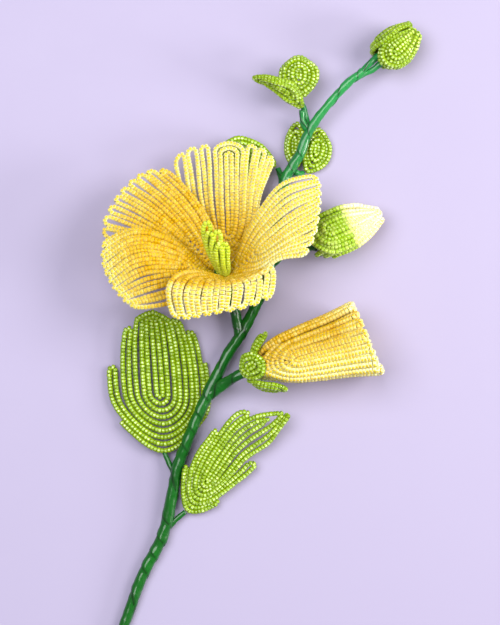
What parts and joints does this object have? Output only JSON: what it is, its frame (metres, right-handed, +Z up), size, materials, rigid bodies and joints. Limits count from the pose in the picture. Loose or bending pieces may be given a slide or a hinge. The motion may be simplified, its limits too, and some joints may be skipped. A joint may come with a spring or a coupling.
{
  "type": "beaded hollyhock stem",
  "caption": "Lying hollyhock spray in French-beaded wirework: an open yellow flower, a half-open one, buds and leaves on taped stems",
  "frame": {"origin": "centre of the footprint of the bounding box, on the table that the spray lies on", "axes": "+Y runs along the spray from the cut end of the stem to the top bud, +Z is up from the table, +X is to the right of the spray seen from above"},
  "size_m": [0.14, 0.3011, 0.0425],
  "materials": {
    "petal_beads": "glossy yellow glass seed beads",
    "leaf_beads": "glossy lime green glass seed beads",
    "bud_beads": "green glass seed beads turning pale yellow at the tip",
    "stamen_beads": "pale lime glass seed beads",
    "floral_tape": "waxed crepe floral tape wound in a spiral"
  },
  "bodies": {
    "root": {"petal_top": "petal_beads", "petal_upper_left": "petal_beads", "petal_lower_left": "petal_beads", "petal_bottom": "petal_beads", "petal_right": "petal_beads", "open_sepal_1": "leaf_beads", "open_sepal_2": "leaf_beads", "open_sepal_3": "leaf_beads", "open_sepal_4": "leaf_beads", "open_sepal_5": "leaf_beads", "stamen_column": "stamen_beads", "trumpet_petal_front": "petal_beads", "trumpet_petal_lower": "petal_beads", "trumpet_petal_upper": "petal_beads", "half_bud_petal_front": "bud_beads", "half_bud_petal_upper": "bud_beads", "half_bud_petal_lower": "bud_beads", "top_bud_petal_front": "leaf_beads", "top_bud_petal_lower": "leaf_beads", "top_bud_petal_upper": "leaf_beads", "trumpet_sepal_front": "leaf_beads", "trumpet_sepal_lower": "leaf_beads", "trumpet_sepal_upper": "leaf_beads", "trumpet_sepal_under": "leaf_beads", "leaf_large_left": "leaf_beads", "leaf_large_right": "leaf_beads", "leaf_round_top": "leaf_beads", "leaf_folded_top": "leaf_beads", "leaf_round_right": "leaf_beads", "leaf_round_left": "leaf_beads", "leaf_behind_petal": "leaf_beads", "taped_stems": "floral_tape"}
  },
  "joints": []
}
